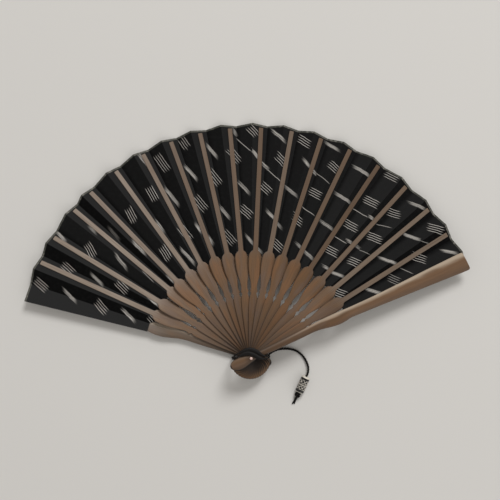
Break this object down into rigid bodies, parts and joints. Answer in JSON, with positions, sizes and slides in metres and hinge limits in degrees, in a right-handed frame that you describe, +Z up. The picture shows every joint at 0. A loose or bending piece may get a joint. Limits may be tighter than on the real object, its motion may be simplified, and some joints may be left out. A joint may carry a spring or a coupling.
{
  "type": "folding fan",
  "caption": "Open pleated folding fan: a dark cloth leaf on thin bamboo ribs between two thick guard sticks, pivoting on a rivet, with a cord loop, bead and knotted tail.",
  "frame": {"origin": "on the table, under the middle of the fan's box, measured without the free cord, bead and knot", "axes": "+X towards the front guard's tip side, along the open fan's width; +Y from the rivet towards the leaf; +Z up from the table"},
  "size_m": [0.3874, 0.2497, 0.0289],
  "materials": {
    "stained_bamboo": "stained and lightly waxed, satin",
    "guard_bamboo": "stained and polished, satin",
    "indigo_cotton": "plain woven, matt",
    "ivory_rivet": "smooth",
    "black_cord": "braided, slight sheen",
    "carved_bead": "carved, darkened grooves"
  },
  "bodies": {
    "back_guard": {"back_guard": "guard_bamboo", "rivet": "ivory_rivet", "leaf_panel_00": "indigo_cotton", "leaf_fold_01": "indigo_cotton", "neck_loop": "black_cord", "cord": "black_cord", "bead": "carved_bead", "knot": "black_cord"},
    "rib_01": {"rib_01": "stained_bamboo", "leaf_panel_01": "indigo_cotton", "leaf_fold_02": "indigo_cotton"},
    "rib_02": {"rib_02": "stained_bamboo", "leaf_panel_02": "indigo_cotton", "leaf_fold_03": "indigo_cotton"},
    "rib_03": {"rib_03": "stained_bamboo", "leaf_panel_03": "indigo_cotton", "leaf_fold_04": "indigo_cotton"},
    "rib_04": {"rib_04": "stained_bamboo", "leaf_panel_04": "indigo_cotton", "leaf_fold_05": "indigo_cotton"},
    "rib_05": {"rib_05": "stained_bamboo", "leaf_panel_05": "indigo_cotton", "leaf_fold_06": "indigo_cotton"},
    "rib_06": {"rib_06": "stained_bamboo", "leaf_panel_06": "indigo_cotton", "leaf_fold_07": "indigo_cotton"},
    "rib_07": {"rib_07": "stained_bamboo", "leaf_panel_07": "indigo_cotton", "leaf_fold_08": "indigo_cotton"},
    "rib_08": {"rib_08": "stained_bamboo", "leaf_panel_08": "indigo_cotton", "leaf_fold_09": "indigo_cotton"},
    "rib_09": {"rib_09": "stained_bamboo", "leaf_panel_09": "indigo_cotton", "leaf_fold_10": "indigo_cotton"},
    "rib_10": {"rib_10": "stained_bamboo", "leaf_panel_10": "indigo_cotton", "leaf_fold_11": "indigo_cotton"},
    "rib_11": {"rib_11": "stained_bamboo", "leaf_panel_11": "indigo_cotton", "leaf_fold_12": "indigo_cotton"},
    "rib_12": {"rib_12": "stained_bamboo", "leaf_panel_12": "indigo_cotton", "leaf_fold_13": "indigo_cotton"},
    "rib_13": {"rib_13": "stained_bamboo", "leaf_panel_13": "indigo_cotton", "leaf_fold_14": "indigo_cotton"},
    "rib_14": {"rib_14": "stained_bamboo", "leaf_panel_14": "indigo_cotton", "leaf_fold_15": "indigo_cotton"},
    "rib_15": {"rib_15": "stained_bamboo", "leaf_panel_15": "indigo_cotton", "leaf_fold_16": "indigo_cotton"},
    "rib_16": {"rib_16": "stained_bamboo", "leaf_panel_16": "indigo_cotton", "leaf_fold_17": "indigo_cotton"},
    "rib_17": {"rib_17": "stained_bamboo", "leaf_panel_17": "indigo_cotton", "leaf_fold_18": "indigo_cotton"},
    "front_guard": {"front_guard": "guard_bamboo"}
  },
  "joints": [
    {"name": "rib_01_pivot", "type": "hinge", "parent": "back_guard", "child": "rib_01", "pos_m": [0.00456, -0.0938, 0.00603], "axis": [0.033, 0.0662, 0.9973], "range_deg": [0, 7.58], "deforming": ["leaf_fold_01"]},
    {"name": "rib_02_pivot", "type": "hinge", "parent": "rib_01", "child": "rib_02", "pos_m": [0.00459, -0.09373, 0.00713], "axis": [0.033, 0.0662, 0.9973], "range_deg": [0, 6.96], "deforming": ["leaf_fold_02"]},
    {"name": "rib_03_pivot", "type": "hinge", "parent": "rib_02", "child": "rib_03", "pos_m": [0.00463, -0.09366, 0.00823], "axis": [0.033, 0.0662, 0.9973], "range_deg": [0, 8.51], "deforming": ["leaf_fold_03"]},
    {"name": "rib_04_pivot", "type": "hinge", "parent": "rib_03", "child": "rib_04", "pos_m": [0.00466, -0.09359, 0.00932], "axis": [0.033, 0.0662, 0.9973], "range_deg": [0, 6.03], "deforming": ["leaf_fold_04"]},
    {"name": "rib_05_pivot", "type": "hinge", "parent": "rib_04", "child": "rib_05", "pos_m": [0.0047, -0.09351, 0.01042], "axis": [0.033, 0.0662, 0.9973], "range_deg": [0, 8.2], "deforming": ["leaf_fold_05"]},
    {"name": "rib_06_pivot", "type": "hinge", "parent": "rib_05", "child": "rib_06", "pos_m": [0.00474, -0.09344, 0.01152], "axis": [0.033, 0.0662, 0.9973], "range_deg": [0, 7.96], "deforming": ["leaf_fold_06"]},
    {"name": "rib_07_pivot", "type": "hinge", "parent": "rib_06", "child": "rib_07", "pos_m": [0.00477, -0.09337, 0.01262], "axis": [0.033, 0.0662, 0.9973], "range_deg": [0, 7.66], "deforming": ["leaf_fold_07"]},
    {"name": "rib_08_pivot", "type": "hinge", "parent": "rib_07", "child": "rib_08", "pos_m": [0.00481, -0.0933, 0.01371], "axis": [0.033, 0.0662, 0.9973], "range_deg": [0, 7.58], "deforming": ["leaf_fold_08"]},
    {"name": "rib_09_pivot", "type": "hinge", "parent": "rib_08", "child": "rib_09", "pos_m": [0.00485, -0.09322, 0.01481], "axis": [0.033, 0.0662, 0.9973], "range_deg": [0, 7.58], "deforming": ["leaf_fold_09"]},
    {"name": "rib_10_pivot", "type": "hinge", "parent": "rib_09", "child": "rib_10", "pos_m": [0.00488, -0.09315, 0.01591], "axis": [0.033, 0.0662, 0.9973], "range_deg": [0, 7.81], "deforming": ["leaf_fold_10"]},
    {"name": "rib_11_pivot", "type": "hinge", "parent": "rib_10", "child": "rib_11", "pos_m": [0.00492, -0.09308, 0.017], "axis": [0.033, 0.0662, 0.9973], "range_deg": [0, 7.73], "deforming": ["leaf_fold_11"]},
    {"name": "rib_12_pivot", "type": "hinge", "parent": "rib_11", "child": "rib_12", "pos_m": [0.00495, -0.093, 0.0181], "axis": [0.033, 0.0662, 0.9973], "range_deg": [0, 7.58], "deforming": ["leaf_fold_12"]},
    {"name": "rib_13_pivot", "type": "hinge", "parent": "rib_12", "child": "rib_13", "pos_m": [0.00499, -0.09293, 0.0192], "axis": [0.033, 0.0662, 0.9973], "range_deg": [0, 7.73], "deforming": ["leaf_fold_13"]},
    {"name": "rib_14_pivot", "type": "hinge", "parent": "rib_13", "child": "rib_14", "pos_m": [0.00503, -0.09286, 0.0203], "axis": [0.033, 0.0662, 0.9973], "range_deg": [0, 8.12], "deforming": ["leaf_fold_14"]},
    {"name": "rib_15_pivot", "type": "hinge", "parent": "rib_14", "child": "rib_15", "pos_m": [0.00506, -0.09279, 0.02139], "axis": [0.033, 0.0662, 0.9973], "range_deg": [0, 8.58], "deforming": ["leaf_fold_15"]},
    {"name": "rib_16_pivot", "type": "hinge", "parent": "rib_15", "child": "rib_16", "pos_m": [0.0051, -0.09271, 0.02249], "axis": [0.033, 0.0662, 0.9973], "range_deg": [0, 7.96], "deforming": ["leaf_fold_16"]},
    {"name": "rib_17_pivot", "type": "hinge", "parent": "rib_16", "child": "rib_17", "pos_m": [0.00514, -0.09264, 0.02359], "axis": [0.033, 0.0662, 0.9973], "range_deg": [0, 7.66], "deforming": ["leaf_fold_17"]},
    {"name": "front_guard_pivot", "type": "hinge", "parent": "rib_17", "child": "front_guard", "pos_m": [0.00517, -0.09257, 0.02468], "axis": [0.033, 0.0662, 0.9973], "range_deg": [0, 7.58], "deforming": ["leaf_fold_18"]}
  ],
  "couplings": [
    {"joint": "rib_02_pivot", "follows": "rib_01_pivot", "ratio": 0.91837},
    {"joint": "rib_03_pivot", "follows": "rib_01_pivot", "ratio": 1.1224},
    {"joint": "rib_04_pivot", "follows": "rib_01_pivot", "ratio": 0.79592},
    {"joint": "rib_05_pivot", "follows": "rib_01_pivot", "ratio": 1.0816},
    {"joint": "rib_06_pivot", "follows": "rib_01_pivot", "ratio": 1.051},
    {"joint": "rib_07_pivot", "follows": "rib_01_pivot", "ratio": 1.0102},
    {"joint": "rib_08_pivot", "follows": "rib_01_pivot", "ratio": 1},
    {"joint": "rib_09_pivot", "follows": "rib_01_pivot", "ratio": 1},
    {"joint": "rib_10_pivot", "follows": "rib_01_pivot", "ratio": 1.0306},
    {"joint": "rib_11_pivot", "follows": "rib_01_pivot", "ratio": 1.0204},
    {"joint": "rib_12_pivot", "follows": "rib_01_pivot", "ratio": 1},
    {"joint": "rib_13_pivot", "follows": "rib_01_pivot", "ratio": 1.0204},
    {"joint": "rib_14_pivot", "follows": "rib_01_pivot", "ratio": 1.0714},
    {"joint": "rib_15_pivot", "follows": "rib_01_pivot", "ratio": 1.1326},
    {"joint": "rib_16_pivot", "follows": "rib_01_pivot", "ratio": 1.051},
    {"joint": "rib_17_pivot", "follows": "rib_01_pivot", "ratio": 1.0102},
    {"joint": "front_guard_pivot", "follows": "rib_01_pivot", "ratio": 1}
  ]
}
